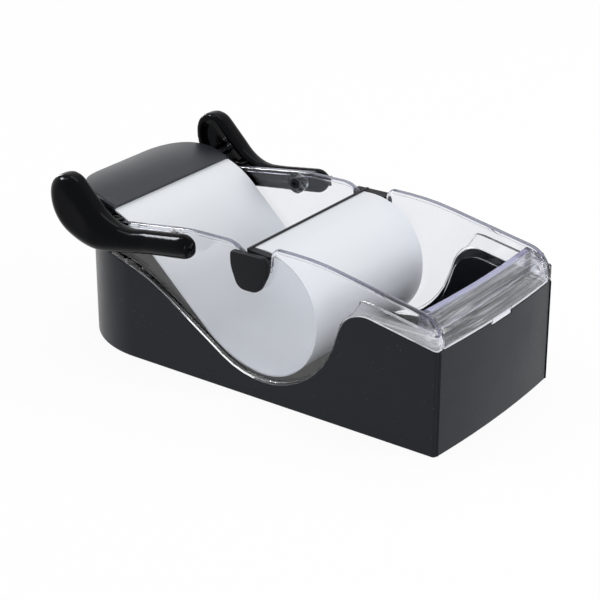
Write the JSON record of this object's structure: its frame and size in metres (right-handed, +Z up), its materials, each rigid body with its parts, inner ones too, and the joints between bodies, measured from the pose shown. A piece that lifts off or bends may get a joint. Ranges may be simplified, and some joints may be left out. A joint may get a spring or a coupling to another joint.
{
  "type": "rice_roll_maker",
  "caption": "Table-top rice roll maker: black tub with wave-cut sides, clear side walls and front bar, white flexible sheet in a loop over a cross bar, and a two-grip lever with a cover plate",
  "frame": {"origin": "centre of the footprint, on the table", "axes": "X along the tub from the lever end to the clear front bar, Y across, Z up"},
  "size_m": [0.25, 0.1398, 0.1003],
  "materials": {
    "black_satin": "satin moulded black plastic",
    "cover_satin": "fine satin black plastic",
    "black_gloss": "polished black plastic",
    "white_sheet": "smooth satin white flexible sheet",
    "clear_plastic": "clear polystyrene with a faint violet edge tint",
    "peg_steel": "bright steel pegs"
  },
  "bodies": {
    "body": {"base_tub": "black_satin", "side_wall_near": "clear_plastic", "side_wall_far": "clear_plastic", "front_bar": "clear_plastic", "front_bar_pegs": "clear_plastic", "sheet_slope": "white_sheet", "sheet_trough": "white_sheet", "sheet_hood": "white_sheet"},
    "lever": {"lever_arm_near": "black_gloss", "lever_arm_far": "black_gloss", "lever_cover": "cover_satin", "cover_pegs": "peg_steel", "sheet_clamp": "black_satin", "pivot_pin_near": "black_gloss", "pivot_pin_far": "black_gloss"},
    "bar": {"bar_blade": "black_satin", "bar_cap_near": "black_satin", "bar_cap_far": "black_satin"}
  },
  "joints": [
    {"name": "lever_hinge", "type": "hinge", "parent": "body", "child": "lever", "pos_m": [-0.039, 0, 0.0746], "axis": [0, 1, 0], "range_deg": [0, 140], "deforming": ["sheet_slope"]},
    {"name": "bar_lift", "type": "slide", "parent": "body", "child": "bar", "axis": [0, 0, 1], "range_m": [0, 0.014], "deforming": ["sheet_hood"]}
  ]
}
